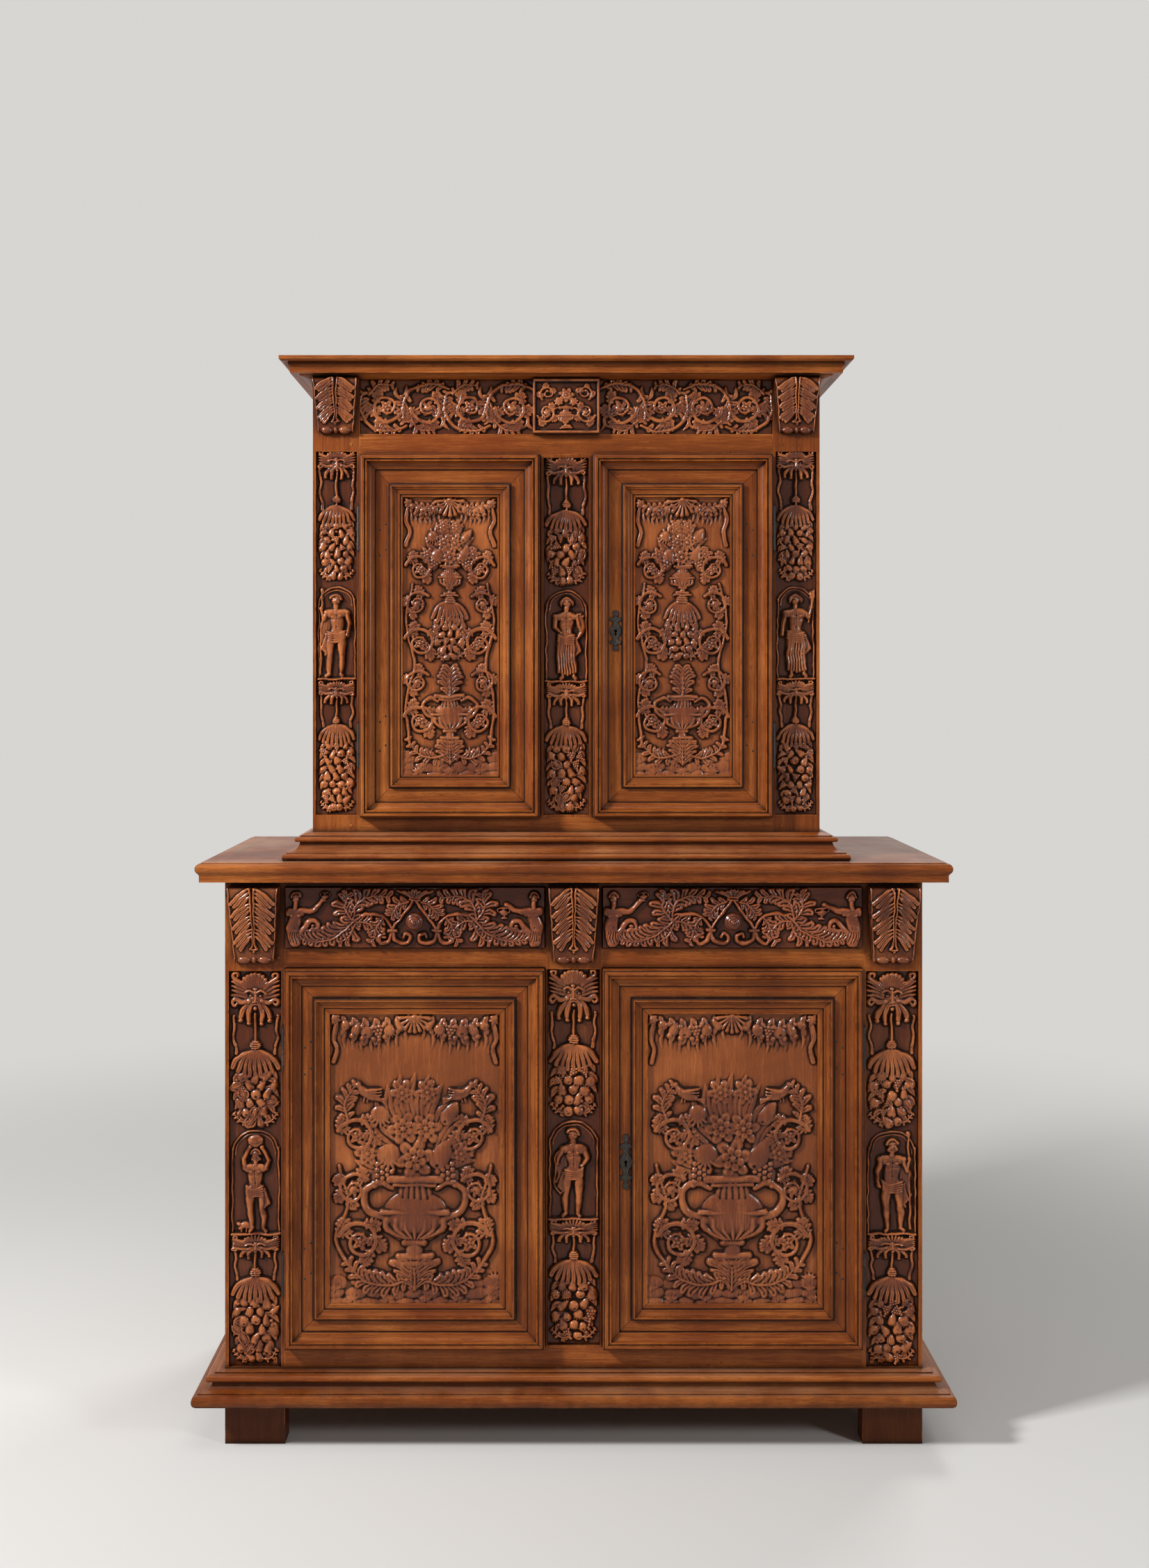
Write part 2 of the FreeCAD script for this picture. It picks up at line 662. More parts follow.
def side_frame(name, half_in, half_out, tenon, panel, front, low, high, base_high):
    """Two side rails with tenons and grooves, and the panel that they hold"""
    rails = []
    tenons = []
    levels = (("low", low, base_high), ("high", f"{high} - side_top_rail_height", high))
    for label, rail_low, rail_high in levels:
        main = board(f"{name}_{label}_body", (half_in, half_out), (front, "rear_stile_front"),
                     (rail_low, rail_high))
        inside = (f"{rail_low} + tenon_shoulder", f"{rail_high} - tenon_shoulder")
        ends = [board(f"{name}_{label}_front_tenon", tenon, (f"{front} - side_tenon_length", front), inside),
                board(f"{name}_{label}_rear_tenon", tenon,
                      ("rear_stile_front", "rear_stile_front + side_tenon_length"), inside)]
        rails.append(tenoned(f"{name}_{label}", main, ends))
        tenons += ends
    panel_board = board(f"{name}_panel", panel,
                        (f"{front} - groove_depth", "rear_stile_front + groove_depth"),
                        (f"{base_high} - groove_depth", f"{high} - side_top_rail_height + groove_depth"))
    rails = [cut(f"{name}_{label}_rail", rail, [panel_board]) for rail, label in zip(rails, ("low", "high"))]
    return rails, tenons, panel_board


lower_side, lower_side_tenons, lower_panel = side_frame(
    "lower_side", "side_inner", "lower_half", SIDE_TENON, ("side_panel_in", "side_panel_out"),
    "frame_back", "feet_height", "ledge_low", "base_rail_top")

# Back rails of the lower case run between the rear stiles.
rear_inner = "lower_half - rear_stile_width"


def back_rails(name, half, levels):
    rails = []
    tenons = []
    for index, (low, high) in enumerate(levels):
        inner = f"{half} - rear_stile_width"
        rail, ends = between_stiles(
            f"{name}_{index}", low, high, inner, f"{inner} + side_tenon_length",
            f"{low} + tenon_shoulder", f"{high} - tenon_shoulder",
            ("back_rail_front", "back_board_front"), ("back_tenon_front", "back_tenon_back"))
        rails.append(rail)
        tenons.append(ends[0])
    return rails, tenons


def back_boards(name, half, low, high, count):
    """Upright boards, side by side, that close the back between the rear stiles"""
    wide = f"2 * ({half} - rear_stile_width) / {count}"
    return [board(f"{name}_{index}", (f"-({half} - rear_stile_width) + {wide} * {index}",
                                      f"-({half} - rear_stile_width) + {wide} * {index + 1}"),
                  ("back_board_front", "back_plane"), (low, high)) for index in range(count)]


LOWER_BACK_BOARDS = 6
UPPER_BACK_BOARDS = 5
lower_back_rails, lower_back_tenons = back_rails(
    "lower_back_rail", "lower_half",
    [("feet_height", "base_rail_top"), ("drawer_low - back_rail_height", "drawer_low"),
     ("ledge_low - back_rail_height", "ledge_low")])
lower_back = back_boards("lower_back_board", "lower_half", "feet_height", "ledge_low", LOWER_BACK_BOARDS)

# Pegs of the lower front frame, four at each side.
lower_peg_places = []
for side in ("", "-"):
    outward = f"{side}(opening_side + tenon_length / 2)"
    lower_peg_places += [(outward, "base_rail_top - tenon_shoulder - peg_edge"),
                         (outward, "feet_height + base_height + peg_edge"),
                         (f"{side}(opening_side + tenon_length / 3)", "(drawer_rail_low + drawer_low) / 2")]
lower_pegs = pegs_at("lower_peg", lower_peg_places, "front_plane")

# The bolts shoot into mortises in the middle stiles and the rails above the left doors.
LOCK_LEVEL = {"lower": "lower_lock_level", "upper": "upper_lock_level"}
CASE_FRONT = {"lower": "front_plane", "upper": "upper_front"}
MIDDLE_HALF = {"lower": "middle_half", "upper": "upper_middle_half"}
DOOR_TOP = {"lower": "drawer_rail_low - door_gap", "upper": "upper_head_low - door_gap"}
DOOR_X = {"lower": "lower_door_middle", "upper": "upper_door_middle"}
RAIL_LOW = {"lower": "drawer_rail_low", "upper": "upper_head_low"}


def bolt_span(tier, spare):
    """Depth and height of a lock bolt, with room round it where spare is a clearance"""
    middle = f"{CASE_FRONT[tier]} + door_set + lock_thickness / 2"
    deep = (f"{middle} - bolt_thickness / 2 - {spare}", f"{middle} + bolt_thickness / 2 + {spare}")
    level = LOCK_LEVEL[tier]
    tall = (f"{level} - bolt_width / 2 - {spare}", f"{level} + bolt_width / 2 + {spare}")
    return deep, tall


def lock_mortise(tier):
    deep, tall = bolt_span(tier, "mortise_clearance")
    depth = "(bolt_travel - lock_edge - door_gap + mortise_spare)"
    across = (f"{MIDDLE_HALF[tier]} - {depth}", f"{MIDDLE_HALF[tier]} + overrun")
    return board(f"{tier}_lock_mortise", across, deep, tall)


def slide_mortise(tier):
    depth = "slide_bolt_travel - slide_bolt_down - door_gap + mortise_spare"
    x = f"-({MIDDLE_HALF[tier]} + door_gap + slide_bolt_edge)"
    y = f"{CASE_FRONT[tier]} + door_set + slide_bolt_stand"
    return rod(f"{tier}_slide_mortise", "slide_bolt_radius + mortise_clearance", f"{depth} + overrun",
               x, y, f"{RAIL_LOW[tier]} - overrun")


lower_middle_carving = board(
    "lower_middle_carving", ("-middle_half + middle_carving_margin", "middle_half - middle_carving_margin"),
    ("front_plane - overrun", "front_plane + carving_depth"),
    ("base_rail_top + middle_carving_margin", "drawer_rail_low - middle_carving_margin"))
lower_middle_solid = fuse("lower_middle_solid", [middle_body, middle_foot, middle_head])
lower_middle_stile = cut("lower_middle_cut", lower_middle_solid,
                         [drawer_inner_tenon, mirrored("drawer_inner_tenon_twin", drawer_inner_tenon),
                          lock_mortise("lower"), lower_middle_carving])

lower_stile_body = board("lower_stile_body", ("opening_side", "lower_half"), LOWER_FRONT, ("0", "ledge_low"))
lower_carving = board(
    "lower_carving", ("opening_side + carving_margin", "lower_half - carving_margin"),
    ("front_plane - overrun", "front_plane + carving_depth"),
    ("feet_height + carving_bottom_margin", "drawer_rail_low - carving_margin"))
lower_stile = cut("lower_stile_cut", lower_stile_body,
                  [bottom_tenons[0], top_tenons[0], drawer_outer_tenon, lower_carving, lower_panel]
                  + [end for end in lower_side_tenons] + frame_leaves["lower"][1] + lower_pegs[:3])
lower_rear_body = board("lower_rear_body", (rear_inner, "lower_half"), ("rear_stile_front", "back_plane"),
                        ("0", "ledge_low"))
lower_rear = cut("lower_rear_cut", lower_rear_body, [lower_panel] + lower_side_tenons + lower_back_tenons)

node("lower_front_stiles", pair("lower_stile", lower_stile))
node("lower_middle_stile", [lower_middle_stile])
node("lower_rear_stiles", pair("lower_rear", lower_rear))
bottom_rail_cut = cut("bottom_rail_cut", lower_bottom_rail, [middle_foot, lower_pegs[0], lower_pegs[1],
                                                             lower_pegs[3], lower_pegs[4]])
top_rail_cut = cut("top_rail_cut", lower_top_rail, [middle_head])
right_drawer_rail = cut("right_drawer_rail", drawer_rail, [lower_pegs[2]])
left_drawer_rail = cut("left_drawer_rail", mirrored("drawer_rail_twin", drawer_rail),
                       [lower_pegs[5], slide_mortise("lower")])
node("lower_front_rails", [bottom_rail_cut, top_rail_cut, right_drawer_rail, left_drawer_rail])
node("lower_side_rails", lower_side + [mirrored(f"lower_side_rail_{index}", rail)
                                       for index, rail in enumerate(lower_side)])
node("lower_side_panels", pair("lower_panel", lower_panel))
node("lower_back_boards", lower_back + lower_back_rails)
node("lower_bottom_board", [board("lower_floor", ("-side_inner", "side_inner"),
                                  ("frame_back", "back_rail_front"),
                                  ("base_rail_top - board_thickness", "base_rail_top"))])
node("lower_shelf", [board("lower_shelf_board", ("-side_panel_in", "side_panel_in"),
                           ("frame_back", "rear_stile_front"),
                           ("lower_shelf_level - shelf_thickness", "lower_shelf_level"))])

# Cleats under the shelves, runners and guides for the drawers.
inner_pieces = []
cleat_level = ("lower_shelf_level - shelf_thickness - cleat_size", "lower_shelf_level - shelf_thickness")
shelf_cleat = board("lower_cleat", ("side_panel_in - cleat_size", "side_panel_in"),
                    ("frame_back", "rear_stile_front"), cleat_level)
inner_pieces += pair("lower_cleat", shelf_cleat)
runner_outer = "opening_side + runner_width / 2"
outer_runner = board("outer_runner", ("opening_side - runner_width / 2", runner_outer),
                     ("frame_back", "back_rail_front"), ("drawer_low - runner_thickness", "drawer_low"))
outer_guide = board("outer_guide", ("opening_side - drawer_gap + guide_clearance", runner_outer),
                    ("frame_back", "back_rail_front"), ("drawer_low", "drawer_low + guide_height"))
inner_pieces += pair("outer_runner", fuse("outer_runner_solid", [outer_runner, outer_guide]))
middle_runner = board("middle_runner", ("-middle_half - runner_width / 2", "middle_half + runner_width / 2"),
                      ("frame_back", "back_rail_front"), ("drawer_low - runner_thickness", "drawer_low"))
middle_guide = board("middle_guide", ("-middle_half - drawer_gap + guide_clearance",
                                      "middle_half + drawer_gap - guide_clearance"),
                     ("frame_back", "back_rail_front"), ("drawer_low", "drawer_low + guide_height"))
inner_pieces.append(fuse("middle_runner_solid", [middle_runner, middle_guide]))

case_moulding("base_moulding", base_moulding_shares, "base_overhang", "base_height", "lower_half",
              "lower_depth", "front_plane", "feet_height")
ledge_core = board("ledge_core", ("-lower_half", "lower_half"), ("front_plane", "back_plane"),
                   ("ledge_low", "ledge_high"))
case_moulding("ledge_top", ledge_edge_shares, "ledge_overhang", "ledge_thickness", "lower_half",
              "lower_depth", "front_plane", "ledge_low", ledge_core)

# Brackets: a leaf-shaped console that swells at the head, with a row of beads across its foot.
bracket_shares = [
    (0, 0), (0.28, 0), (0.34, 0.06, 0.10), (0.42, 0.34), (0.54, 0.50, 0.14), (0.88, 0.80, 0.28),
    (0.86, 0.97), (0.78, 1.0), (0, 1.0)]
BEADS = 6
BEAD_BULGE_SHARE = 0.2


def bracket(name, wide, tall, proud):
    """One bracket, its back on the origin's plane and its head at the origin's level"""
    outline = [(f"-({proud}) * {corner[0]}", f"({tall}) * {corner[1]} - ({tall})") + corner[2:]
               for corner in bracket_shares]
    wedges = [[(f"{side} * ({wide}) / 2", "0"),
               (f"{side} * (({wide}) / 2 - bracket_taper)", f"-({tall})"),
               (f"{side} * (({wide}) / 2 - bracket_taper)", f"-({tall}) - overrun"),
               (f"{side} * (({wide}) / 2 + overrun)", f"-({tall}) - overrun"),
               (f"{side} * (({wide}) / 2 + overrun)", "0")] for side in (1, -1)]
    console = extrusion(f"{name}_console", outline, wide, wedges)
    reach = f"(({wide}) / 2 - bracket_taper)"
    step = f"2 * {reach} / {BEADS}"
    outline = [(f"-{reach}", "0"), (f"-{reach}", "bead_core_radius", BEAD_BULGE_SHARE)]
    outline += [(f"-{reach} + {step} * {index}", "bead_core_radius", BEAD_BULGE_SHARE)
                for index in range(1, BEADS)]
    outline += [(reach, "bead_core_radius"), (reach, "0")]
    row_body = doc.addObject("PartDesign::Body", f"{name}_beads")
    profile = sketch_on(row_body, f"{name}_bead_profile", "XZ_Plane")
    add_outline(profile, outline)
    turning = row_body.newObject("PartDesign::Revolution", f"{name}_bead_turning")
    turning.Profile = profile
    turning.ReferenceAxis = (profile, ["H_Axis"])
    turning.Angle = FULL_TURN
    beads = placed(together(f"{name}_bead_seat", [row_body]), "0", "-bead_core_radius - bead_swell",
                   f"-({tall}) - bead_core_radius / 2")
    return fuse(name, [console, beads])


lower_bracket = bracket("lower_bracket", "lower_bracket_width", "lower_console_height",
                        "lower_bracket_proud")
side_stile_middle = "lower_half - side_stile_width / 2"
node("lower_brackets", [
    placed(together(f"lower_bracket_{index}", [lower_bracket]), x, "front_plane", "drawer_high")
    for index, x in enumerate((f"-({side_stile_middle})", "0", side_stile_middle))])

# Upper case, drawn on its own centre line and moved sideways as a whole.
case_moulding("plinth_moulding", plinth_moulding_shares, "plinth_overhang", "plinth_height", "upper_half",
              "back_plane - upper_front", "upper_front", "ledge_high", shift="upper_shift")
upper_bottom_rail, upper_bottom_tenons = between_stiles(
    "upper_bottom_rail", "ledge_high", "upper_rail_top", "upper_opening_side",
    "upper_opening_side + tenon_length", "ledge_high + tenon_shoulder", "upper_rail_top - tenon_shoulder",
    UPPER_FRONT, UPPER_TENON)
upper_door_rail, upper_door_tenons = between_stiles(
    "upper_door_rail", "upper_head_low", "frieze_low", "upper_opening_side",
    "upper_opening_side + tenon_length", "upper_head_low + tenon_shoulder", "frieze_low - tenon_shoulder",
    UPPER_FRONT, UPPER_TENON)
upper_head_rail, upper_head_tenons = between_stiles(
    "upper_head_rail", "frieze_high", "case_top", "upper_opening_side",
    "upper_opening_side + tenon_length", "frieze_high + tenon_shoulder", "case_top",
    UPPER_FRONT, UPPER_TENON)
upper_middle_body = board("upper_middle_body", ("-upper_middle_half", "upper_middle_half"), UPPER_FRONT,
                          ("upper_rail_top", "upper_head_low"))
upper_middle_tenons = [
    board("upper_middle_foot", ("-tenon_length", "tenon_length"), UPPER_TENON,
          ("upper_rail_top - tenon_length", "upper_rail_top")),
    board("upper_middle_head", ("-tenon_length", "tenon_length"), UPPER_TENON,
          ("upper_head_low", "upper_head_low + tenon_length / 2"))]
upper_middle_carving = board(
    "upper_middle_carving",
    ("-upper_middle_half + upper_carving_margin", "upper_middle_half - upper_carving_margin"),
    ("upper_front - overrun", "upper_front + carving_depth"),
    ("upper_rail_top + upper_carving_margin", "upper_head_low - upper_carving_margin"))
upper_middle_stile = cut("upper_middle_cut",
                         tenoned("upper_middle_solid", upper_middle_body, upper_middle_tenons),
                         [lock_mortise("upper"), upper_middle_carving])
upper_side, upper_side_tenons, upper_panel = side_frame(
    "upper_side", "upper_side_inner", "upper_half", ("upper_side_tenon_in", "upper_side_tenon_out"),
    ("upper_panel_in", "upper_panel_out"), "upper_frame_back", "ledge_high", "case_top", "upper_rail_top")
upper_back_rails, upper_back_tenons = back_rails(
    "upper_back_rail", "upper_half",
    [("ledge_high", "upper_rail_top"), ("case_top - back_rail_height", "case_top")])
upper_back = back_boards("upper_back_board", "upper_half", "ledge_high", "case_top", UPPER_BACK_BOARDS)
upper_peg_places = []
for side in ("", "-"):
    outward = f"{side}(upper_opening_side + tenon_length / 2)"
    upper_peg_places += [(outward, "upper_rail_top - tenon_shoulder - peg_edge / 2"),
                         (outward, "(upper_head_low + frieze_low) / 2")]
upper_pegs = pegs_at("upper_peg", upper_peg_places, "upper_front")
upper_stile_body = board("upper_stile_body", ("upper_opening_side", "upper_half"), UPPER_FRONT,
                         ("ledge_high", "case_top"))
upper_carving = board(
    "upper_carving", ("upper_opening_side + upper_carving_margin", "upper_half - upper_carving_margin"),
    ("upper_front - overrun", "upper_front + carving_depth"),
    ("upper_rail_top + upper_carving_margin", "upper_head_low + upper_carving_margin"))
upper_stile = cut("upper_stile_cut", upper_stile_body,
                  [upper_bottom_tenons[0], upper_door_tenons[0], upper_head_tenons[0], upper_carving,
                   upper_panel] + upper_side_tenons + frame_leaves["upper"][1] + upper_pegs[:2])
upper_rear_body = board("upper_rear_body", ("upper_half - rear_stile_width", "upper_half"),
                        ("rear_stile_front", "back_plane"), ("ledge_high", "case_top"))
upper_rear = cut("upper_rear_cut", upper_rear_body, [upper_panel] + upper_side_tenons + upper_back_tenons)

node("upper_front_stiles", pair("upper_stile", upper_stile), "upper_shift")
node("upper_middle_stile", [upper_middle_stile], "upper_shift")
node("upper_rear_stiles", pair("upper_rear", upper_rear), "upper_shift")
upper_rail_low = cut("upper_bottom_rail_cut", upper_bottom_rail,
                     [upper_middle_tenons[0], upper_pegs[0], upper_pegs[2]])
upper_rail_high = cut("upper_door_rail_cut", upper_door_rail,
                      [upper_middle_tenons[1], upper_pegs[1], upper_pegs[3], slide_mortise("upper")])
node("upper_front_rails", [upper_rail_low, upper_rail_high, upper_head_rail], "upper_shift")
node("upper_side_rails", upper_side + [mirrored(f"upper_side_rail_{index}", rail)
                                       for index, rail in enumerate(upper_side)], "upper_shift")
node("upper_side_panels", pair("upper_panel", upper_panel), "upper_shift")
node("upper_back_boards", upper_back + upper_back_rails, "upper_shift")
node("upper_bottom_board", [board("upper_floor", ("-upper_side_inner", "upper_side_inner"),
                                  ("upper_frame_back", "back_rail_front"),
                                  ("upper_rail_top - board_thickness", "upper_rail_top"))], "upper_shift")
node("upper_shelf", [board("upper_shelf_board", ("-upper_panel_in", "upper_panel_in"),
                           ("upper_frame_back", "rear_stile_front"),
                           ("upper_shelf_level - shelf_thickness", "upper_shelf_level"))], "upper_shift")
cleat_level = ("upper_shelf_level - shelf_thickness - cleat_size", "upper_shelf_level - shelf_thickness")
upper_cleat = board("upper_cleat", ("upper_panel_in - cleat_size", "upper_panel_in"),
                    ("upper_frame_back", "rear_stile_front"), cleat_level)
upper_cleats = pair("upper_cleat", upper_cleat)
inner_pieces.append(placed(together("upper_cleats", upper_cleats), "upper_shift"))
node("inner_cleats", inner_pieces)

frieze_deep = ("upper_front + frieze_recess", "upper_front + frieze_recess + frieze_panel_thickness")
frieze_panel = board("frieze_panel", ("frieze_block_width / 2", "upper_opening_side"), frieze_deep,
                     ("frieze_low", "frieze_high"))
frieze_block = board("frieze_block", ("-frieze_block_width / 2", "frieze_block_width / 2"),
                     ("upper_front - frieze_block_proud", frieze_deep[1]), ("frieze_low", "frieze_high"))
node("frieze_panels", pair("frieze_panel", frieze_panel) + [frieze_block], "upper_shift")
upper_bracket = bracket("upper_bracket", "upper_bracket_width", "upper_console_height",
                        "upper_bracket_proud")
upper_stile_middle = "upper_half - upper_side_stile_width / 2"
node("upper_brackets", [
    placed(together(f"upper_bracket_{index}", [upper_bracket]), x, "upper_front", "frieze_high")
    for index, x in enumerate((f"-({upper_stile_middle})", upper_stile_middle))], "upper_shift")
case_moulding("cornice_moulding", cornice_moulding_shares, "cornice_overhang", "cornice_height",
              "upper_half", "back_plane - upper_front", "upper_front", "frieze_high", shift="upper_shift")
node("upper_top_board", [board("upper_top", ("-upper_half", "upper_half"), ("upper_front", "back_plane"),
                               ("case_top", "cornice_top"))], "upper_shift")

node("hinge_pins", [placed(together("lower_pins", pins["lower"][0] + pins["lower"][1])),
                    placed(together("upper_pins", pins["upper"][0] + pins["upper"][1]), "upper_shift")])
node("hinge_frame_leaves", [
    placed(together("lower_leaves", frame_leaves["lower"][0] + frame_leaves["lower"][1])),
    placed(together("upper_leaves", frame_leaves["upper"][0] + frame_leaves["upper"][1]), "upper_shift")])
node("joint_pegs", lower_pegs + [placed(together("upper_pegs", upper_pegs), "upper_shift")])

# Doors, drawn on their own centre and placed in the case.
DOORS = {
    "lower": ("lower_door_width", "lower_door_height", "lower_door_level", "door_band",
              ("lower_outer_band", "lower_outer_proud"),
              ("lower_inner_set", "lower_inner_band", "lower_inner_proud"), "0"),
    "upper": ("upper_door_width", "upper_door_height", "upper_door_level", "upper_door_band",
              ("upper_outer_band", "upper_outer_proud"),
              ("upper_inner_set", "upper_inner_band", "upper_inner_proud"), "upper_shift"),
}


def keyhole(name, x, front, level):
    """The round and the slot of a keyhole, right through the door's stile"""
    deep = (f"{front} - door_flat_proud - escutcheon_thickness - overrun", f"{front} + door_set")
    round_hole = rod(f"{name}_round", "keyhole_radius", f"{deep[1]} - ({deep[0]})", x, deep[0], level, "y")
    slot = board(f"{name}_slot", (f"{x} - keyhole_slot / 2", f"{x} + keyhole_slot / 2"), deep,
                 (f"{level} - keyhole_drop", level))
    return fuse(f"{name}_keyhole", [round_hole, slot])


# Shares of an escutcheon's half width and half height, up the right-hand side and down the left.
escutcheon_shares = [
    (0, 1.0, 0.3), (0.42, 0.86, 0.2), (0.16, 0.74), (0.30, 0.66, 0.3), (0.95, 0.52, -0.25),
    (0.40, 0.36), (0.62, 0.24, 0.18), (0.62, -0.24), (0.40, -0.36, -0.25), (0.95, -0.52, 0.3),
    (0.30, -0.66), (0.16, -0.74, 0.2), (0.42, -0.86, 0.3)]


def escutcheon_plate(name, tall, x, front, level, hole):
    half_wide = "escutcheon_width / 2"
    half_tall = f"{tall} / 2"
    right = [(f"{half_wide} * {spot[0]}", f"{half_tall} * {spot[1]}") + spot[2:]
             for spot in escutcheon_shares]
    left = []
    for index in range(len(escutcheon_shares) - 1, 0, -1):
        here = escutcheon_shares[index]
        before = escutcheon_shares[index - 1]
        left.append((f"-{half_wide} * {here[0]}", f"{half_tall} * {here[1]}") + before[2:])
    foot = ("0", f"-{half_tall}") + escutcheon_shares[-1][2:]
    plate = extrusion(f"{name}_plate", right + [foot] + left, "escutcheon_thickness",
                      profile_plane="XZ_Plane")
    middle = f"{front} - door_flat_proud - escutcheon_thickness / 2"
    seat = placed(together(f"{name}_seat", [plate]), x, middle, level)
    return cut(f"{name}_cut", seat, [hole])


def door(tier, side):
    """One door; side is 1 for the right-hand door, whose hinges are on its right"""
    wide, tall, level, band, outer, inner, shift = DOORS[tier]
    name = f"{tier}_{'right' if side > 0 else 'left'}"
    front = CASE_FRONT[tier]
    sign = "" if side > 0 else "-"
    x = f"{sign}({DOOR_X[tier]})"
    frame_outline = [("0", "0"), ("-door_thickness", "0"), ("-door_thickness", band), ("-panel_high", band),
                     ("-panel_high", f"{band} - groove_depth"), ("-panel_low", f"{band} - groove_depth"),
                     ("-panel_low", band), ("0", band)]
    frame_ring = together(f"{name}_ring", ring(f"{name}_frame", frame_outline, wide, tall, band))
    placed(frame_ring, x, f"{front} + door_set", level)
    leaves = door_leaves[tier][1 if side > 0 else 0]
    tools = list(leaves)
    ironwork = list(leaves)
    if side > 0:
        lock_x = f"{MIDDLE_HALF[tier]} + door_gap + escutcheon_edge"
        hole = keyhole(name, lock_x, front, LOCK_LEVEL[tier])
        tools.append(hole)
        lock(tier, name, front, shift)
        plate_tall = "escutcheon_height" if tier == "lower" else "upper_escutcheon_height"
        plate = escutcheon_plate(name, plate_tall, lock_x, front, LOCK_LEVEL[tier], hole)
        node(f"{name}_escutcheon", [plate], shift)
    else:
        ironwork += slide_bolt(tier, name, front, shift)
    node(f"{name}_door_frame", [cut(f"{name}_frame_cut", frame_ring, tools)], shift)
    outer_outline = outline_of(outer_moulding_shares, outer[1], outer[0])
    outer_ring = ring(f"{name}_outer", outer_outline, wide, tall, outer[0])
    inner_outline = outline_of(inner_moulding_shares, inner[2], inner[1])
    inner_ring = ring(f"{name}_inner", inner_outline, f"{wide} - 2 * {inner[0]}",
                      f"{tall} - 2 * {inner[0]}", inner[1])
    mouldings = placed(together(f"{name}_mouldings", outer_ring + inner_ring), x,
                       f"{front} - door_flat_proud", level)
    node(f"{name}_door_mouldings", [mouldings], shift)
    half_wide = f"({wide} / 2 - {band} + groove_depth)"
    half_tall = f"({tall} / 2 - {band} + groove_depth)"
    panel = board(f"{name}_panel_board", (f"-{half_wide}", half_wide), ("-panel_high", "-panel_low"),
                  (f"-{half_tall}", half_tall))
    field_wide = f"({half_wide} - groove_depth - field_margin)"
    field_tall = f"({half_tall} - groove_depth - field_margin)"
    field = board(f"{name}_field", (f"-{field_wide}", field_wide),
                  ("-panel_high - field_proud", "-panel_high"),
                  (f"-{field_tall}", field_tall))
    panel_seat = placed(together(f"{name}_panel_seat", [fuse(f"{name}_panel_solid", [panel, field])]),
                        x, f"{front} + door_set", level)
    node(f"{name}_door_panel", [panel_seat], shift)
    node(f"{name}_door_ironwork", ironwork, shift)


def lock(tier, name, front, shift):
    """A box lock on the inside of a right-hand door, and the bolt that slides in it"""
    edge = f"{MIDDLE_HALF[tier]} + door_gap + lock_edge"
    middle = LOCK_LEVEL[tier]
    box = board(f"{name}_lock_box", (edge, f"{edge} + lock_width"),
                (f"{front} + door_set", f"{front} + door_set + lock_thickness"),
                (f"{middle} - lock_height / 2", f"{middle} + lock_height / 2"))
    deep, tall = bolt_span(tier, "bolt_clearance")
    channel = board(f"{name}_lock_channel", (f"{edge} - overrun", f"{edge} + bolt_length + overrun / 2"),
                    deep, tall)
    node(f"{name}_lock_case", [cut(f"{name}_lock_cut", box, [channel])], shift)
    deep, tall = bolt_span(tier, "0")
    bar = board(f"{name}_lock_bolt_bar", (edge, f"{edge} + bolt_length"), deep, tall)
    node(f"{name}_lock_bolt", [bar], shift)


def slide_bolt(tier, name, front, shift):
    """An upright bolt inside a left-hand door, and the two staples that hold it"""
    x = f"-({MIDDLE_HALF[tier]} + door_gap + slide_bolt_edge)"
    y = f"{front} + door_set + slide_bolt_stand"
    top = f"{DOOR_TOP[tier]} - slide_bolt_down"
    low = f"{top} - slide_bolt_length"
    shank = rod(f"{name}_bolt_shank", "slide_bolt_radius", "slide_bolt_length", x, y, low)
    knob = ball(f"{name}_bolt_knob", "slide_bolt_knob / 2", x, f"{y} + slide_bolt_radius",
                f"{low} + slide_bolt_length / 2")
    foot = rod(f"{name}_bolt_foot", "slide_bolt_knob / 2", "pin_head_height", x, y,
               f"{low} - pin_head_height")
    node(f"{name}_slide_bolt", [fuse(f"{name}_bolt_solid", [shank, knob, foot])], shift)
    staples = []
    hole = rod(f"{name}_staple_hole", "slide_bolt_radius + slide_bolt_clearance",
               "slide_bolt_length + 2 * overrun", x, y, f"{low} - overrun")
    for index, level in enumerate((f"{top} - staple_height", f"{top} - staple_height - staple_spread")):
        block = board(f"{name}_staple_{index}", (f"{x} - staple_width / 2", f"{x} + staple_width / 2"),
                      (f"{front} + door_set", f"{front} + door_set + staple_depth"),
                      (f"{level} - staple_height", level))
        staples.append(cut(f"{name}_staple_cut_{index}", block, [hole]))
    return staples


for tier in ("lower", "upper"):
    for side in (-1, 1):
        door(tier, side)

# Drawers.
knob_shares = [
    (0, 0), (0, 0.62), (0.10, 0.62, 0.3), (0.22, 0.50), (0.22, 0.40, -0.2), (0.42, 0.40),
    (0.46, 0.72, 0.3), (0.92, 0.66), (0.92, 0.30, 0.3), (1.0, 0.16), (1.0, 0)]


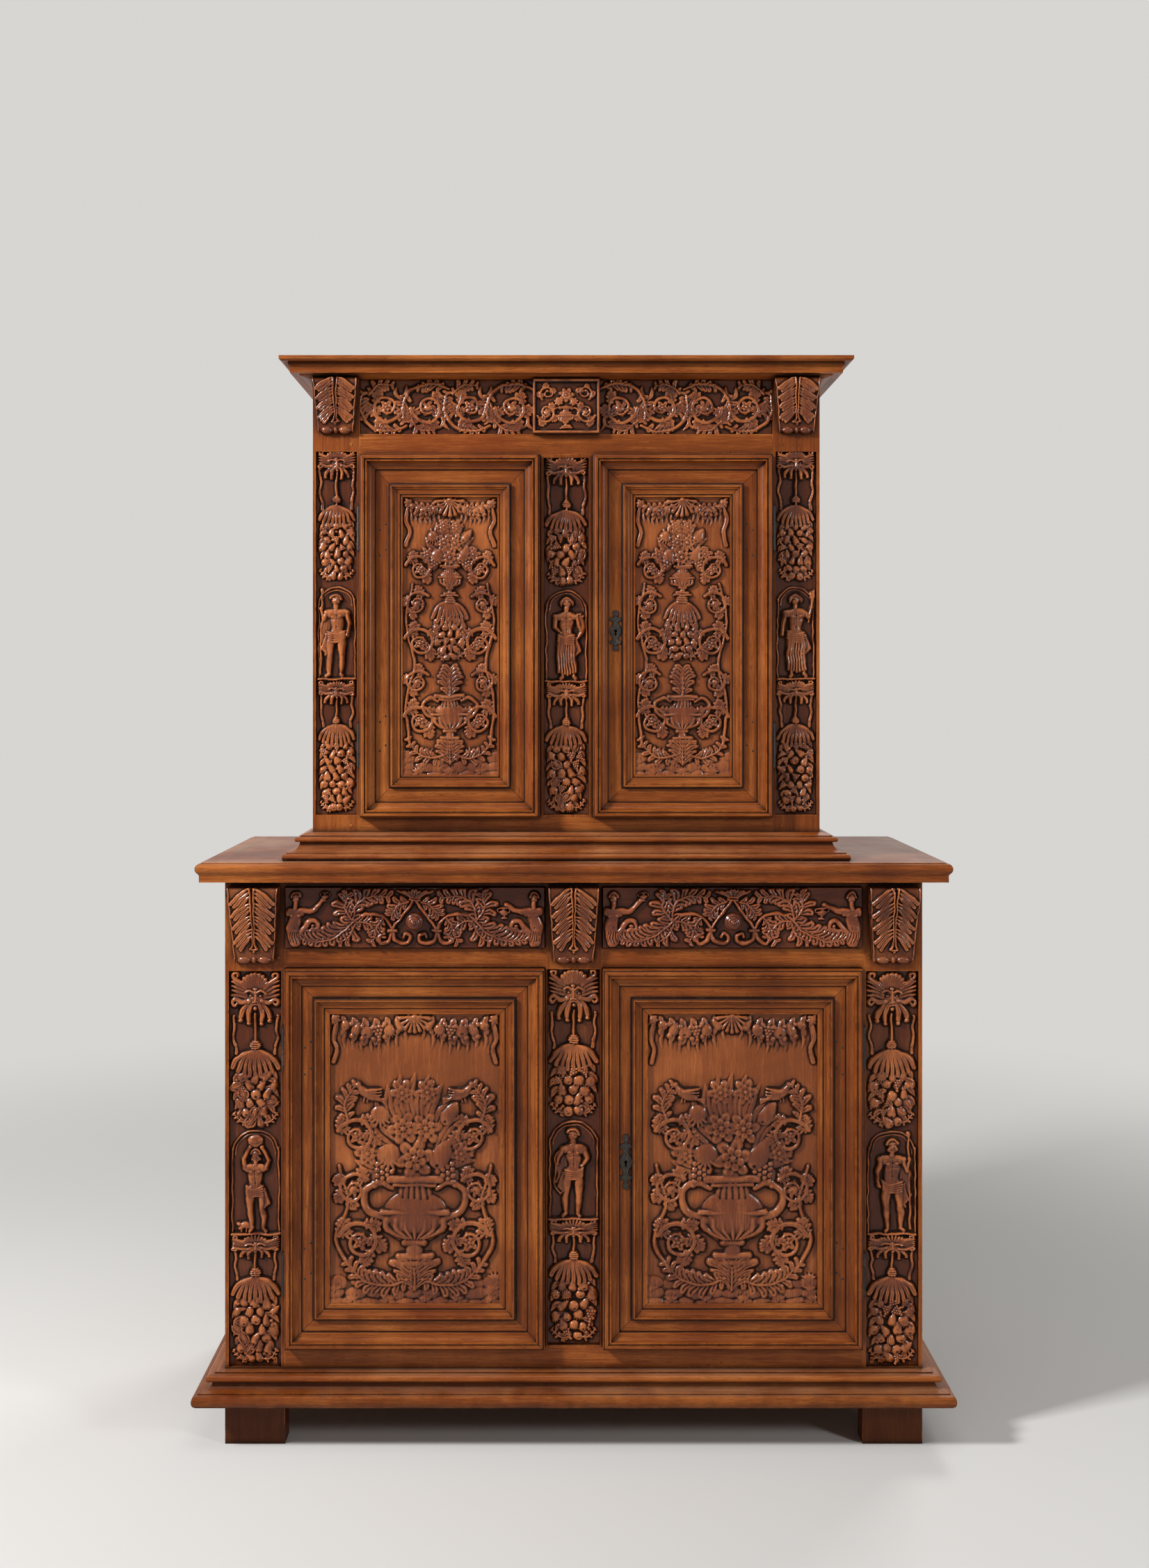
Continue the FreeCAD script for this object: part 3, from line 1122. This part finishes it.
def drawer(name, sign):
    """A drawer: carved front, turned knob, and the box behind; the front laps the sides' ends"""
    middle = f"{sign}({DOOR_X['lower']})"
    half = "drawer_width / 2"
    across = (f"{middle} - {half}", f"{middle} + {half}")
    front = board(f"{name}_front_board", across, ("front_plane - drawer_proud", "drawer_front_back"),
                  ("drawer_low + drawer_gap", "drawer_high - drawer_gap"))
    spigot_hole = rod(f"{name}_spigot_hole", "knob_spigot_radius", "knob_spigot_length",
                      middle, "front_plane - drawer_proud", "drawer_low + knob_height", "y")
    node(f"{name}_front", [cut(f"{name}_front_cut", front, [spigot_hole])])
    low = "drawer_low + drawer_lift"
    side_high = f"{low} + drawer_side_height"
    base = (f"{low} + drawer_bottom_level", f"{low} + drawer_bottom_level + drawer_bottom_thickness")
    inner = (f"{across[0]} + drawer_side_thickness", f"{across[1]} - drawer_side_thickness")
    bottom = board(f"{name}_bottom",
                   (f"{inner[0]} - drawer_bottom_groove", f"{inner[1]} + drawer_bottom_groove"),
                   ("drawer_front_back", "drawer_back - drawer_side_thickness"), base)
    sides = [board(f"{name}_side_{index}", span, ("drawer_front_back", "drawer_back"), (low, side_high))
             for index, span in enumerate(((across[0], inner[0]), (inner[1], across[1])))]
    sides = [cut(f"{name}_side_cut_{index}", part, [bottom]) for index, part in enumerate(sides)]
    back = board(f"{name}_back", inner, ("drawer_back - drawer_side_thickness", "drawer_back"),
                 (low, side_high))
    node(f"{name}_box", sides + [back, bottom])
    knob_body = doc.addObject("PartDesign::Body", f"{name}_knob_body")
    profile = sketch_on(knob_body, f"{name}_knob_profile", "YZ_Plane")
    outline = [(f"-knob_length * {spot[0]}", f"knob_radius * {spot[1]}") + spot[2:] for spot in knob_shares]
    add_outline(profile, outline)
    turning = knob_body.newObject("PartDesign::Revolution", f"{name}_knob_turning")
    turning.Profile = profile
    turning.ReferenceAxis = (profile, ["H_Axis"])
    turning.Angle = FULL_TURN
    seat = placed(together(f"{name}_knob_seat", [knob_body]), middle, "front_plane - drawer_proud",
                  "drawer_low + knob_height")
    spigot = rod(f"{name}_spigot", "knob_spigot_radius", "knob_spigot_length",
                 middle, "front_plane - drawer_proud", "drawer_low + knob_height", "y")
    node(f"{name}_knob", [fuse(f"{name}_knob_solid", [seat, spigot])])


drawer("drawer_left", "-")
drawer("drawer_right", "")

doc.recompute()

broken = [item.Label for item in doc.Objects if "Invalid" in item.State or "Error" in item.State]
for part in nodes:
    if part.Shape.isNull() or not part.Shape.isValid() or part.Shape.Volume <= 0:
        broken.append(part.Label)
if broken:
    raise RuntimeError(f"these pieces did not build: {broken}")

os.makedirs("parts", exist_ok=True)
for part in nodes:
    part.Shape.exportStep(f"parts/{part.Label}.step")
    box = part.Shape.BoundBox
    print(f"{part.Label}: {len(part.Shape.Solids)} solids, {part.Shape.Volume / 1e3:.1f} cm3, "
          f"x {box.XMin:.1f} {box.XMax:.1f}, y {box.YMin:.1f} {box.YMax:.1f}, "
          f"z {box.ZMin:.1f} {box.ZMax:.1f}")
print(len(nodes), "sub-parts")
